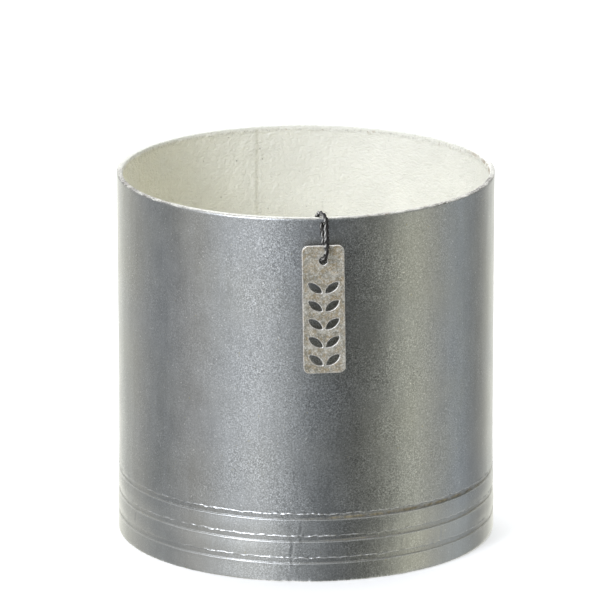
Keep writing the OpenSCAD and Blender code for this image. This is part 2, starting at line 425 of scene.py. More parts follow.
def zinc_finish():
    """Satin zinc: clouded, finely speckled with painted glints, brown in its grooves, with painted
    shade in them, painted highlights on their edges and torn lips, and painted light low down
    """
    f, s = Finish("zinc_sheet"), settings()
    at = f.place()
    base = tuple(s.zinc_colour)
    cloud = f.grain(at, 9, detail=4, roughness=0.62)
    streak = f.grain(f.stretched(at, 1, 1, 0.14), 2.6, detail=3, shift=3.1)
    speck = f.grain(at, 0.44, detail=2, roughness=0.8, shift=1.7)
    drifts = f.grain(at, 21, detail=4, roughness=0.6, shift=4.1)
    gritty = f.marks("gritty") * f.ramp(drifts, (0.42, 0.5), (0.62, 1))
    # Painted glints: random near-white specks on the zinc.
    painted_glint = f.ramp(f.grain(at, 0.62, detail=1, shift=5.3), (0.7, 0), (0.75, 1))
    tint = f.ramp(f.grain(at, 34, detail=1, shift=0.9), (0.4, 0), (0.62, 1))
    metal = f.mix(tint, shade(base, 0.98), (base[0], base[1] * 0.985, base[2] * 0.93))
    metal = f.mix(f.ramp(cloud, (0.34, 0), (0.68, 1)), f.mix(0.3, metal, (0.3, 0.31, 0.32)), metal)
    metal = f.mix(f.ramp(streak, (0.4, 0), (0.7, 0.35)), metal, shade(base, 1.14))
    metal = f.mix(f.ramp(speck, (0.5, 0), (0.64, 1)) * gritty, metal, shade(base, 1.7))
    metal = f.mix(f.ramp(speck, (0.36, 1), (0.48, 0)) * gritty, metal, shade(base, 0.5))
    metal = f.mix((painted_glint * (0.45 + 0.55 * gritty)).clipped(), metal, (0.97, 0.97, 0.96))
    # Painted light: the pale mark makes the metal paler low down, standing in for light on the lower
    # bands.
    metal = f.mix(f.marks("pale"), metal, (0.78, 0.78, 0.735))
    core, bright, dim = f.marks("core"), f.marks("bright"), f.marks("dim")
    brown = f.mix(
        f.ramp(f.grain(at, 1.1, detail=3, shift=2.2), (0.35, 0), (0.65, 1)),
        (0.1, 0.082, 0.045), (0.32, 0.27, 0.15),
    )
    patch = f.ramp(f.grain(at, 2.6, detail=3, shift=7.7), (0.32, 0.15), (0.54, 1))
    bare = (core * patch).clipped()
    # Painted shade: dark grey inside the grooves.
    metal = f.mix(dim * 0.6, metal, (0.2, 0.2, 0.195))
    # Bright mark: near white, partly bare foil and partly painted highlight, on torn lips, groove
    # edges and the foot edge.
    metal = f.mix(bright, metal, (0.97, 0.97, 0.97))
    stain = f.ramp(f.grain(at, 1.0, detail=1, shift=9.4), (0.77, 0), (0.8, 0.7))
    metal = f.mix(stain, metal, (0.5, 0.46, 0.27))
    f.set(
        Base_Color=f.mix(bare, metal, brown),
        Metallic=(1.0 - bare * 0.9 - stain * 0.3 - bright * 0.55).clipped(),
        Roughness=(s.zinc_gloss + (cloud - 0.5) * 0.16 + bare * 0.3 - bright * 0.06).clipped(),
        Normal=f.relief(speck + 0.35 * streak, 0.025, 0.5),
    )
    return f.material


def base_finish():
    """The plain zinc of the base, seen only from below"""
    f, s = Finish("base_sheet"), settings()
    at = f.place()
    cloud = f.grain(at, 7, detail=4, roughness=0.6)
    brush = f.grain(f.stretched(at, 1, 0.06, 1), 0.7, detail=2, shift=2)
    base = tuple(s.zinc_colour)
    tone = f.mix(f.ramp(cloud, (0.35, 0), (0.65, 1)), shade(base, 0.72), shade(base, 0.95))
    f.set(
        Base_Color=f.mix(f.ramp(brush, (0.45, 0), (0.65, 0.4)), tone, shade(base, 1.3)),
        Metallic=1.0,
        Roughness=(0.34 + 0.2 * cloud).clipped(),
        Normal=f.relief(brush, 0.015, 0.5),
    )
    return f.material


def coat_finish(name, lumps_mm):
    """Thick off-white coat: softly lumpy, pitted, and soiled and painted with shade where it rolls
    over the rim
    """
    f, s = Finish(name), settings()
    at = f.place()
    base = tuple(s.coat_colour)
    cloud = f.grain(at, 14, detail=3)
    tone = f.mix(f.ramp(cloud, (0.35, 0), (0.65, 1)), shade(base, 0.965), shade(base, 1.02))
    pit = f.ramp(f.grain(at, 0.9, detail=0, shift=4.4), (0.85, 0), (0.88, 1))
    tone = f.mix(pit * 0.6, tone, (0.36, 0.34, 0.28))
    seam, edge, silver = f.marks("seam"), f.marks("edge"), f.marks("silver")
    # Soil and painted shade: grey on the rim's roll, most on its two sides and just inside the rim.
    tone = f.mix(edge * 0.4, tone, (0.6, 0.59, 0.52))
    # Yellowing and painted shade: a darker yellow tint on the lining's left side.
    tone = f.mix(f.marks("aged") * (0.3 + 1.2 * cloud), tone, (0.83, 0.79, 0.6))
    tone = f.mix(seam * 0.3, tone, (0.56, 0.54, 0.42))
    fleck = f.grain(at, 0.7, detail=3, roughness=0.65, shift=6.1)
    soil = (edge * f.ramp(fleck, (0.5, 0), (0.62, 1))).clipped()
    tone = f.mix(soil * 0.7, tone, (0.33, 0.32, 0.29))
    brown = (edge * f.ramp(f.grain(at, 1.9, detail=2, shift=8.8), (0.66, 0), (0.7, 1))).clipped()
    tone = f.mix(brown * 0.7, tone, (0.3, 0.2, 0.1))
    tone = f.mix(f.marks("stained") * 0.9, tone, (0.3, 0.21, 0.13))
    bare = f.ramp(f.grain(at, 0.8, detail=3, shift=2.9), (0.34, 0.2), (0.46, 1))
    foil = (silver * bare).clipped()
    glint = f.mix(f.ramp(fleck, (0.4, 0), (0.6, 1)), (0.1, 0.09, 0.075), (0.45, 0.44, 0.42))
    tone = f.mix(foil, tone, glint)
    orange_peel = f.grain(f.stretched(at, 1, 1, 1.6), lumps_mm, detail=2.5, roughness=0.6)
    f.set(
        Base_Color=tone,
        Metallic=foil * 0.35,
        Roughness=(0.4 + 0.12 * cloud + 0.3 * edge).clipped(),
        Normal=f.relief(orange_peel - 0.7 * pit, 0.44, 1.0),
    )
    f.shader.inputs["Specular IOR Level"].default_value = 0.42
    return f.material


def pewter_finish():
    """Antiqued pewter: mottled brown in its hollows, and bright on its edges from wear and painted
    highlight
    """
    f, s = Finish("pewter"), settings()
    at = f.place()
    base = tuple(s.pewter_colour)
    cloud = f.grain(at, 2.4, detail=4, roughness=0.62)
    grit = f.grain(at, 0.42, detail=3, roughness=0.7, shift=3.3)
    warm = f.ramp(f.grain(at, 1.3, detail=4, roughness=0.7, shift=6.6), (0.46, 0), (0.62, 0.85))
    tone = f.mix(f.ramp(cloud, (0.4, 0), (0.64, 1)), (0.34, 0.32, 0.26), base)
    tone = f.mix(warm, tone, (0.47, 0.37, 0.22))
    tone = f.mix(f.ramp(grit, (0.5, 0), (0.66, 0.75)), tone, (0.86, 0.85, 0.8))
    tone = f.mix(f.ramp(grit, (0.34, 0.7), (0.47, 0)), tone, (0.27, 0.25, 0.2))
    worn, hollow = f.marks("worn"), f.marks("hollow")
    tone = f.mix(hollow * 0.72, tone, (0.13, 0.125, 0.115))
    # Wear and painted highlight: near white along the border and the leaf lips.
    tone = f.mix(worn * f.ramp(grit, (0.3, 0.35), (0.52, 1)), tone, (0.95, 0.945, 0.93))
    f.set(
        Base_Color=tone,
        Metallic=(0.7 - hollow * 0.3).clipped(),
        Roughness=(0.47 + 0.16 * cloud - 0.16 * worn + 0.14 * hollow).clipped(),
        Normal=f.relief(grit + 0.6 * cloud, 0.05, 0.6),
    )
    return f.material


def waxed_finish():
    """Near-black twisted cotton, with a painted highlight in pale grey patches on its strands' crowns
    on one side
    """
    f, s = Finish("waxed_cord"), settings()
    uv = f.node("ShaderNodeUVMap", {"uv_map": "lay"})
    base = tuple(s.cord_colour)
    fibre = f.node(
        "ShaderNodeTexNoise", {}, Vector=f.stretched(uv, 26, 3.2, 1), Scale=1.0, Detail=3,
        Roughness=0.6, Distortion=0.4,
    )
    wax = f.node(
        "ShaderNodeTexNoise", {}, Vector=f.stretched(uv, 3, 0.6, 1), Scale=1.0, Detail=3,
        Roughness=0.55,
    )
    # The crown mark carries the painted highlight: crowns of the strands on one side of the cord.
    crown = f.marks("crown")
    side_highlight = crown * f.ramp(wax, (0.4, 0), (0.5, 1)) * f.ramp(fibre, (0.35, 0.25), (0.55, 1))
    tone = f.mix(f.ramp(fibre, (0.4, 0), (0.7, 0.5)), base, shade(base, 2.6))
    tone = f.mix(side_highlight, tone, (0.72, 0.71, 0.67))
    f.set(
        Base_Color=tone,
        Roughness=(0.55 + 0.22 * fibre).clipped(),
        Normal=f.relief(fibre, 0.05, 0.8),
    )
    f.shader.inputs["Specular IOR Level"].default_value = 0.25
    return f.material


def floor_finish():
    """Matt white paper with a trace of tooth"""
    f = Finish("studio_paper")
    at = f.place()
    tooth = f.grain(at, 40, detail=3)
    f.set(
        Base_Color=f.mix(f.ramp(tooth, (0.3, 0), (0.7, 1)), (0.9, 0.9, 0.9), (0.92, 0.92, 0.92)),
        Roughness=0.9,
        Emission_Color=(1.0, 1.0, 1.0),
        Emission_Strength=0.26,
    )
    f.shader.inputs["Specular IOR Level"].default_value = 0.1
    return f.material


# ---------------------------------------------------------------- meshes


def new_piece(name, points, faces, finish, marks=None):
    """A smooth mesh piece from points in metres, with its material and its point marks"""
    mesh = bpy.data.meshes.new(name)
    mesh.from_pydata(np.asarray(points).tolist(), [], [list(map(int, f)) for f in faces])
    mesh.validate()
    mesh.update()
    for key, values in (marks or {}).items():
        layer = mesh.attributes.new(key, "FLOAT", "POINT")
        layer.data.foreach_set("value", np.asarray(values, np.float32).ravel())
    mesh.shade_smooth()
    piece = bpy.data.objects.new(name, mesh)
    bpy.context.scene.collection.objects.link(piece)
    mesh.materials.append(finish)
    return piece


def ring_faces(rows, around, closed=True):
    """Quads of a grid that runs round a ring; closed joins the last row to the first"""
    row = np.arange(rows if closed else rows - 1)[:, None]
    col = np.arange(around)[None, :]
    up, along = (row + 1) % rows, (col + 1) % around
    return np.stack(
        [row * around + col, row * around + along, up * around + along, up * around + col], -1
    ).reshape(-1, 4)


def turned(radius, height):
    """Points of a turned surface from radius and height arrays, rows by columns, in millimetres"""
    angle = np.arange(radius.shape[1]) * 2 * math.pi / radius.shape[1]
    return np.stack([radius * np.cos(angle), radius * np.sin(angle), height], -1).reshape(-1, 3) * MM


def lumps(points_mm, size_mm, seed):
    """Seamless noise from about -1 to 1 at each point, with lumps of that size"""
    shifted = np.asarray(points_mm) / size_mm + np.array([seed * 17.3, seed * 5.1, seed * 11.9])
    return np.array([noise.noise(p) for p in shifted.tolist()]) * 1.5


def lumps_round(turns, size_mm, seed):
    """The same along the wall's circle"""
    return lumps(around_wall(turns, np.zeros_like(turns)), size_mm, seed)


def eased(value, low, high):
    """0 below low, 1 above high, and smooth between"""
    t = np.clip((value - low) / (high - low), 0, 1)
    return t * t * (3 - 2 * t)


def past(turns, place, radius):
    """Distance round a circle from a place on it, in millimetres, below 0 before it"""
    return ((turns - place + 0.5) % 1 - 0.5) * 2 * math.pi * radius


def seam_share(turns, half_width_mm, radius):
    """1 on the upright seam and 0 beside it"""
    off = np.abs(past(turns, SEAM_TURN, radius))
    return 1 - eased(off, 0.25 * half_width_mm, half_width_mm)


def hill(value, width):
    """1 at 0, and less and less away from it"""
    return np.exp(-((value / width) ** 2))


def grid(heights, radii):
    """Rows by columns arrays of height, radius and turn from one profile"""
    turns = np.arange(AROUND) / AROUND
    height = np.repeat(np.asarray(heights, float)[:, None], AROUND, 1)
    radius = np.repeat(np.asarray(radii, float)[:, None], AROUND, 1)
    return height, radius, np.broadcast_to(turns, height.shape)


def around_wall(turns, heights):
    """Points on the wall's outside at those turns and heights, in millimetres"""
    angle = turns * 2 * math.pi
    return np.stack([WALL_R * np.cos(angle), WALL_R * np.sin(angle), heights], -1).reshape(-1, 3)


def steps(low, high, step):
    """Evenly spaced values from low up to but not including high"""
    return list(np.linspace(low, high, max(1, round((high - low) / step)), endpoint=False))


def round_tin(ring, rows):
    """Values given as (degrees, value) round the tin, at each place of a ring"""
    degrees, values = zip(*rows, strict=True)
    return np.interp(ring * 360, degrees, values, period=360)


def wall_rows(sheet_top):
    """Heights of the sheet's rows: close together at each groove, wide apart above them"""
    rise = [0.75, 1.6, 2.8, 4.2]
    for i, middle in enumerate(GROOVE_AT):
        low, high = middle - GROOVE_HALF, middle + GROOVE_HALF
        rise += steps(low - 0.6, low + 0.7, 0.13) + steps(low + 0.7, high - 0.6, 0.3)
        rise += steps(high - 0.6, high + 0.8, 0.14) + steps(high + 0.8, high + 2.2, 0.45)
        if i < len(GROOVE_AT) - 1:
            rise += steps(high + 2.2, GROOVE_AT[i + 1] - GROOVE_HALF - 0.6, 0.9)
    rise += steps(GROOVE_AT[-1] + GROOVE_HALF + 2.2, sheet_top - 1.5, 5.0)
    return rise + steps(sheet_top - 1.5, sheet_top, 0.75) + [sheet_top]


def groove(i, zs, ring, out, marks, fine, finer):
    """Cuts one groove into the wall: brown in its bottom, with a torn, folded upper lip"""
    s = settings()
    dark = round_tin(ring, GROOVE_DARK)
    foil, rust = round_tin(ring, LIP_FOIL[i]), round_tin(ring, LIP_BROWN[i])
    torn = 0.2 * lumps_round(ring, 2.3, 30 + i) + 0.16 * lumps_round(ring, 0.9, 40 + i)
    deep = 0.45 + 0.3 * foil + 0.4 * rust + 0.2 * lumps_round(ring, 16, 50 + i)
    fold = 0.45 * lumps_round(ring, 2.6, 60 + i) + 0.25 * lumps_round(ring, 1.1, 70 + i)
    fold = np.clip(1.5 * foil - 0.2 + fold, 0, 1)
    low = GROOVE_AT[i] - GROOVE_HALF
    high = GROOVE_AT[i] + GROOVE_HALF + torn
    way = np.clip((zs - low - 0.3) / (high - low - 0.3), 0, 1)
    cut = eased(zs, low - 0.02, low + 0.3) * (1 - eased(zs, high - 0.18, high + 0.02))
    cut = cut * (1 - 0.6 * way)
    out = out - np.clip(deep, 0.45, 1.1) * s.groove_depth / MM * cut
    ridge = hill(zs - high - 0.08, 0.12)
    above = eased(zs, high, high + 0.25) * (1 - eased(zs, high + 0.3, high + 1.4))
    out = out + fold * s.lip_crumple / MM * ridge * np.clip(0.75 + 0.7 * fine, 0.2, 1.3)
    out = out + 0.09 * above * fine * foil + 0.06 * hill(zs - low + 0.15, 0.22)
    # Painted highlight: a bright line along the groove's lower edge.
    crest_highlight = hill(zs - low + 0.05, 0.11) * round_tin(ring, LIP_CREST_HIGHLIGHT)
    bottom = rust * hill(zs - low - 0.3 - 0.4 * rust**2, 0.13 + 0.42 * rust**2)
    marks["core"] = np.maximum(marks["core"], bottom)
    # Painted shade: darker grey where the groove cuts in.
    marks["dim"] = np.maximum(marks["dim"], cut * (0.3 + 0.5 * rust) * dark)
    # Bare foil and painted highlight: the torn ridge is painted near white.
    bright = np.maximum(marks["bright"], 0.85 * ridge * fold * np.clip(0.8 + 0.8 * fine, 0, 1))
    marks["bright"] = np.maximum(bright, crest_highlight * np.clip(0.8 + 0.3 * finer, 0, 1))
    return out


def zinc_wall():
    """The rolled sheet: dented plain wall, swelling bands, and grooves with torn upper lips"""
    sheet_top = RIM_TOP - 0.25
    rise = wall_rows(sheet_top)
    foot_z = [0.12, 0.0, 0.06, 0.3]
    foot_r = [SHEET_IN_R + 0.1, RIM_R - 0.25, RIM_R + 0.12, RIM_R + 0.29]
    back_z, back_r = [sheet_top, 60.0, 4.0, 1.0], [SHEET_IN_R + 0.02] * 4
    z, r, turn = grid(foot_z + rise + back_z, foot_r + [RIM_R] * len(rise) + back_r)
    first, last = len(foot_z), len(foot_z) + len(rise)
    plain = np.s_[first:last]
    zs, turns = z[plain].copy(), turn[plain]
    here = around_wall(turns, zs)
    ring = np.arange(AROUND) / AROUND

    swell = 0.045 * lumps(here * (1, 1, 0.35), 13, 1) + 0.018 * lumps(here * (1, 1, 0.5), 4.2, 2)
    out = swell.reshape(zs.shape)
    marks = {key: np.zeros(zs.shape) for key in ("core", "bright", "dim")}
    fine = lumps(here, 0.75, 3).reshape(zs.shape)
    finer = lumps(here, 0.46, 4).reshape(zs.shape)
    drift = np.zeros(zs.shape)
    for i, middle in enumerate(GROOVE_AT):
        wander = 0.12 * lumps_round(ring, 22, 10 + i) + 0.05 * lumps_round(ring, 5, 20 + i)
        drift = drift + wander * np.clip(1.9 - np.abs(zs - middle) / 1.8, 0, 1)
        out = groove(i, zs, ring, out, marks, fine, finer)
    for below, over in zip(GROOVE_AT, GROOVE_AT[1:]):
        low, high = below + GROOVE_HALF, over - GROOVE_HALF
        out = out + 0.2 * np.sin(math.pi * np.clip((zs - low) / (high - low), 0, 1))
    out = out + 0.12 * hill(zs - GROOVE_AT[-1] - 2.6, 1.6) + 0.36 * (1 - eased(zs, 1, 25))
    for degrees, low, high, size in CREASES:
        off = past(turns, degrees / 360, WALL_R) + 0.25 * np.sin(zs * 0.9)
        inside = eased(zs, low, low + 1) * (1 - eased(zs, high - 1, high))
        out = out + size * inside * (hill(off, 0.3) - 0.8 * hill(off - 0.65, 0.38))
    out = out - 0.22 * seam_share(turns, 0.5, WALL_R)
    marks["core"] = np.maximum(marks["core"], 0.4 * seam_share(turns, 0.4, WALL_R))
    r[plain] = r[plain] + out
    z[plain] = z[plain] + drift
    frayed = 0.05 * np.abs(lumps_round(ring, 0.9, 80)) + 0.06 * np.abs(lumps_round(ring, 3, 81))
    for k, share in enumerate((0.5, 1.0, 1.0, 0.6)):
        z[k] = z[k] + frayed * share

    # The pale mark is painted light: paler metal round the tin, fading out between 12 and 24 mm up.
    grit, pale = round_tin(ring, SHEET_GRIT), round_tin(ring, SHEET_PAINTED_LIGHT)
    layers = {"gritty": np.broadcast_to(grit, z.shape), "pale": pale * (1 - eased(z, 12, 24))}
    for key, values in marks.items():
        layers[key] = np.zeros(z.shape)
        layers[key][plain] = values
    # Painted highlight: the standing foot edge is painted bright, most at the front.
    foot_highlight = round_tin(ring, FOOT_HIGHLIGHT) * np.clip(0.25 + 0.9 * lumps_round(ring, 0.9, 82), 0, 1)
    layers["bright"][1:first] = foot_highlight
    layers["bright"][first] = 0.3 * foot_highlight
    return new_piece(
        "zinc_wall", turned(r, z), ring_faces(*z.shape), zinc_finish(), layers
    )


def pale_lining():
    """The thick coat: lumpy inside, with a pitted top that rolls raggedly over the sheet"""
    s = settings()
    lip_low = RIM_TOP - 0.3  # mean lower edge of the coat outside the sheet
    under_z = [BASE_TOP + 0.1, BASE_TOP + 0.1]
    under_r = [BORE_R, SHEET_IN_R + 0.12]
    hidden_z = [60.0, lip_low - 1.4, lip_low - 0.2]
    hidden_r = [SHEET_IN_R + 0.12, SHEET_IN_R + 0.14, SHEET_IN_R + 0.3]
    roll = [(RIM_R + out, RIM_TOP + up) for out, up in ROLL_OUTLINE] + [(BORE_R, RIM_TOP - 1.05)]
    fall = steps(RIM_TOP - 1.35, RIM_TOP - 3.0, -0.4) + steps(RIM_TOP - 3.0, 94, -0.8)
    fall += steps(94, 60, -1.3) + steps(60, BASE_TOP + 0.1, -2.6)
    z, r, turn = grid(
        under_z + hidden_z + [p[1] for p in roll] + fall,
        under_r + hidden_r + [p[0] for p in roll] + [BORE_R] * len(fall),
    )
    start = len(under_z) + len(hidden_z)
    stop = start + len(roll)
    ring = np.arange(AROUND) / AROUND
    angle = turn * 2 * math.pi
    here = np.stack([r * np.cos(angle), r * np.sin(angle), z], -1)

    inner = np.s_[stop:]
    flat = here[inner].reshape(-1, 3)
    drips = lumps(flat * (1, 1, 1.5), 2.4, 93)
    pimples = np.clip(lumps(flat, 1.9, 94) - 0.7, 0, 1) * 2.2
    grain = lumps(flat * (1, 1, 1.5), 1.5, 95)
    waves = lumps(flat, 9, 96)
    height = s.coat_lumps / MM * (0.25 * drips + 0.6 * grain + 1.4 * pimples + 0.5 * waves)
    height = height.reshape(z[inner].shape)
    bead = np.clip(0.6 + 0.5 * lumps_round(ring, 3.2, 97) + 0.5 * lumps_round(ring, 1.2, 87), 0, 1.5)
    height = height + 0.16 * hill(z[inner] - RIM_TOP + 1.75, 0.3) * bead
    split = seam_share(turn[inner], 0.85, BORE_R)
    near = 1 - eased(np.abs(past(turn[inner], SEAM_TURN, BORE_R)), 0.4, 1.8)
    height = height + 0.07 * near - 0.24 * split
    r[inner] = r[inner] - height

    top = np.s_[start:stop]
    flat = here[top].reshape(-1, 3)
    crumb = lumps(flat, 0.95, 98).reshape(z[top].shape)
    coarse = lumps(flat, 2.4, 99).reshape(z[top].shape)
    fine = lumps(flat, 0.55, 100).reshape(z[top].shape)
    share = np.linspace(0, 1, stop - start)[:, None]
    hump = np.sin(math.pi * share)
    z[top] = z[top] + hump * (0.015 * crumb + 0.04 * coarse + 0.01 * fine)
    rolled = 1 - eased(share, 0.0, 0.42)
    ragged = 0.16 * lumps_round(ring, 3.4, 101) + 0.12 * lumps_round(ring, 1.1, 102)
    ragged = ragged + 0.08 * lumps_round(ring, 9, 103)
    ragged = np.clip(ragged - 0.04, -0.5, 0.02) * round_tin(ring, RIM_RAGGED)
    z[top] = z[top] + ragged * (1 - eased(share, 0.06, 0.24))
    r[top] = r[top] + rolled * (0.02 * crumb + 0.012 * fine) - (1 - rolled) * hump * 0.06 * crumb
    z[top] = np.minimum(z[top], RIM_TOP + 0.12)

    seam, edge, silver = np.zeros(z.shape), np.zeros(z.shape), np.zeros(z.shape)
    seam[inner] = split
    # Soil and painted shade: the roll is greyer on its outer and inner sides than on its top.
    edge[top] = (0.55 + 0.45 * np.abs(np.cos(math.pi * share))) * round_tin(ring, RIM_SOIL_AND_SHADE)
    # Painted shade: the first rows inside, just under the roll, are greyed.
    edge[stop:stop + 3] = np.array([0.6, 0.4, 0.15])[:, None]
    reach = round_tin(ring, RIM_FOIL_REACH)
    foil = round_tin(ring, RIM_FOIL) * np.clip(0.8 + 0.6 * lumps_round(ring, 4, 104), 0, 1)
    silver[top] = foil * (1 - eased(share, reach - 0.1, reach + 0.15))
    aged, stained = np.zeros(z.shape), np.zeros(z.shape)
    # Yellowing and painted shade on the lining's left side.
    aged[inner] = round_tin(ring, COAT_YELLOWING_AND_SHADE)
    patchy = np.clip(0.6 + lumps_round(ring, 2.6, 105), 0, 1)
    stained[stop - 4:stop] = round_tin(ring, COAT_STAINED) * patchy
    marks = {"seam": seam, "edge": edge, "silver": silver, "aged": aged, "stained": stained}
    return new_piece(
        "pale_lining", turned(r, z), ring_faces(*z.shape), coat_finish("pale_coat", 1.0), marks
    )


def drill(piece):
    """Cuts the cord's hole through a wall piece, a little uneven at its rim"""
    count, length = 28, 6.0
    points, faces = [], []
    for side in (-1, 1):
        for k in range(count):
            a = 2 * math.pi * k / count
            size = HOLE_R + 0.04 * math.sin(3 * a + 1) + 0.03 * math.sin(7 * a)
            x, z = HOLE_ASIDE + size * math.cos(a), WALL_HOLE_Z_MM + size * math.sin(a)
            points.append((x * MM, (side * length / 2 - HOLE_WALL_R) * MM, z * MM))
    for k in range(count):
        n = (k + 1) % count
        faces.append((k, count + k, count + n, n))
    faces += [tuple(range(count)), tuple(range(2 * count - 1, count - 1, -1))]
    cutter = new_piece("cutter", points, faces, piece.data.materials[0])
    cut = piece.modifiers.new("hole", "BOOLEAN")
    cut.operation, cut.solver, cut.object = "DIFFERENCE", "EXACT", cutter
    settle(piece)
    bpy.data.objects.remove(cutter)


def settle(piece):
    """Applies a piece's modifiers to its mesh"""
    bpy.context.view_layer.update()
    graph = bpy.context.evaluated_depsgraph_get()
    mesh = bpy.data.meshes.new_from_object(piece.evaluated_get(graph))
    piece.modifiers.clear()
    old, piece.data = piece.data, mesh
    bpy.data.meshes.remove(old)
    mesh.name = piece.name


def base_coat():
    """The coat on the base: a lumpy disc that rises a little at its edge"""
    rings, around = 58, 220
    out = np.linspace(0, 1, rings) ** 0.9 * (BORE_R + 0.15)
    out[0] = 0.02
    angle = np.arange(around) * 2 * math.pi / around
    r = np.repeat(out[:, None], around, 1)
    x, y = r * np.cos(angle), r * np.sin(angle)
    flat = np.stack([x, y, np.zeros_like(x)], -1).reshape(-1, 3)
    lift = 0.05 * lumps(flat, 9, 110) + 0.045 * lumps(flat, 2.6, 111)
    z = FLOOR_TOP - 0.06 + lift.reshape(x.shape) + 0.25 * eased(r, BORE_R - 3, BORE_R)
    top = np.stack([x, y, z], -1)[::-1]
    under = np.stack([x, y, np.full_like(x, BASE_TOP + 0.02)], -1)[[0, -1]]
    points = np.concatenate([top, under]).reshape(-1, 3) * MM
    faces = ring_faces(rings + 2, around)
    piece = new_piece("base_coat", points, faces, coat_finish("base_coat", 1.4))
    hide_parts("base_lining")
    return piece


def seal_bead():
    """The wiped bead of sealer in the corner of the base"""
    around, rows = 420, 12
    turns = np.arange(around) / around
    wide = 1.75 + 0.22 * lumps_round(turns, 7, 120) + 0.1 * lumps_round(turns, 2, 121)
    tall = 1.7 + 0.24 * lumps_round(turns, 8, 122) + 0.1 * lumps_round(turns, 1.8, 123)
    bend = np.linspace(0, math.pi / 2, rows - 2)[:, None]
    r = BORE_R - wide * (1 - np.sin(bend))
    z = FLOOR_TOP + 0.02 + tall * (1 - np.cos(bend))
    r = np.concatenate([np.full((1, around), BORE_R + 0.3), r, np.full((1, around), BORE_R + 0.3)])
    z = np.concatenate([np.full((1, around), BASE_TOP + 0.3), z, z[-1:] + 0.05])
    return new_piece(
        "seal_bead", turned(r[::-1], z[::-1]), ring_faces(rows, around), coat_finish("seal_bead", 2.2)
    )


# ---------------------------------------------------------------- cord and knot


def smooth_route(route_mm, step_mm):
    """Points a step apart along a smooth curve through a route"""
    p = np.asarray(route_mm, float)
    p = np.concatenate([[2 * p[0] - p[1]], p, [2 * p[-1] - p[-2]]])
    dense = []
    for i in range(1, len(p) - 2):
        a, b, c, d = p[i - 1 : i + 3]
        t = np.linspace(0, 1, 24, endpoint=False)[:, None]
        dense.append(
            0.5 * (2 * b + (c - a) * t + (2 * a - 5 * b + 4 * c - d) * t**2
                   + (3 * b - a - 3 * c + d) * t**3)
        )
    dense = np.concatenate([*dense, p[-2:-1]])
    run = np.concatenate([[0], np.cumsum(np.linalg.norm(np.diff(dense, axis=0), axis=1))])
    at = np.linspace(0, run[-1], max(2, round(run[-1] / step_mm)))
    return np.stack([np.interp(at, run, dense[:, k]) for k in range(3)], -1)


def carried_frames(line):
    """Two directions square to a line at each point, carried along it without twist"""
    way = np.gradient(line, axis=0)
    way /= np.linalg.norm(way, axis=1)[:, None]
    side = np.cross(way[0], (0.3, 0.9, 0.2))
    side /= np.linalg.norm(side)
    sides = []
    for w in way:
        side = side - w * (side @ w)
        side /= np.linalg.norm(side)
        sides.append(side)
    sides = np.array(sides)
    return sides, np.cross(way, sides)


def strand_outline(angle, strands, radius):
    """Radius of the outline of touching round strands, and how near each point is to a crown"""
    size = radius / (1 + 1 / math.sin(math.pi / strands))
    off = size / math.sin(math.pi / strands)
    near = (angle + math.pi / strands) % (2 * math.pi / strands) - math.pi / strands
    under = np.clip(size**2 - (off * np.sin(near)) ** 2, 0, None)
    out = off * np.cos(near) + np.sqrt(under)
    return np.maximum(out, 0.55 * radius), np.clip(1 - np.abs(near) / (math.pi / strands), 0, 1)


def tube_faces(rows, corners):
    """Faces of a tube with both its ends closed"""
    faces = ring_faces(rows, corners, closed=False).tolist()
    faces.append(list(range(corners))[::-1])
    faces.append([(rows - 1) * corners + k for k in range(corners)])
    return faces


def twisted_tube(line, radius, strands, lay_mm, corners=30, ends=0.35, phase=0.0):
    """Points, faces, marks and map of a twisted cord along a line, in millimetres"""
    sides, ups = carried_frames(line)
    step = np.linalg.norm(np.diff(line, axis=0), axis=1)
    run = np.concatenate([[0], np.cumsum(step)])
    local = np.arange(corners) * 2 * math.pi / corners
    out, crown = strand_outline(local, strands, radius)
    turn = phase + 2 * math.pi * run / lay_mm
    angle = local[None, :] + turn[:, None]
    fit = np.minimum(run, run[-1] - run)
    slim = np.sqrt(np.clip(1 - (1 - np.clip(fit / ends, 0, 1)) ** 2, 0.02, 1))
    uneven = 1 + 0.035 * np.sin(run * 2.1 + phase) + 0.02 * np.sin(run * 5.3)
    reach = out[None, :] * (slim * uneven)[:, None]
    across, upward = np.cos(angle)[..., None], np.sin(angle)[..., None]
    outward = across * sides[:, None, :] + upward * ups[:, None, :]
    skin = line[:, None, :] + reach[..., None] * outward
    reach = reach * (1 + 0.04 * lumps(skin.reshape(-1, 3), 0.34, 130).reshape(reach.shape))
    # Painted highlight: crowns that face one side get pale patches.
    side_highlight = crown[None, :] * eased(outward @ np.array(HIGHLIGHT_SIDE), 0.5, 0.85)
    points = line[:, None, :] + reach[..., None] * outward
    rows = len(line)
    faces = tube_faces(rows, corners)
    return points.reshape(-1, 3), faces, side_highlight.ravel(), (rows, corners, run)


def lay_map(mesh, tubes):
    """A map that goes round each tube in u and along it in v, in millimetres"""
    layer = mesh.uv_layers.new(name="lay")
    place = np.zeros((len(mesh.vertices), 2))
    wide = np.zeros(len(mesh.vertices), int)
    for start, rows, corners, run in tubes:
        block = np.s_[start : start + rows * corners]
        place[block, 0] = np.tile(np.arange(corners) / corners, rows)
        place[block, 1] = np.repeat(run, corners)
        wide[block] = corners
    loops = np.array([l.vertex_index for l in mesh.loops])
    uv = place[loops]
    for face in mesh.polygons:
        these = slice(face.loop_start, face.loop_start + face.loop_total)
        if face.loop_total == 4 and np.ptp(uv[these, 0]) > 0.5:
            uv[these, 0] = np.where(uv[these, 0] < 0.5, uv[these, 0] + 1, uv[these, 0])
    layer.data.foreach_set("uv", uv.astype(np.float32).ravel())


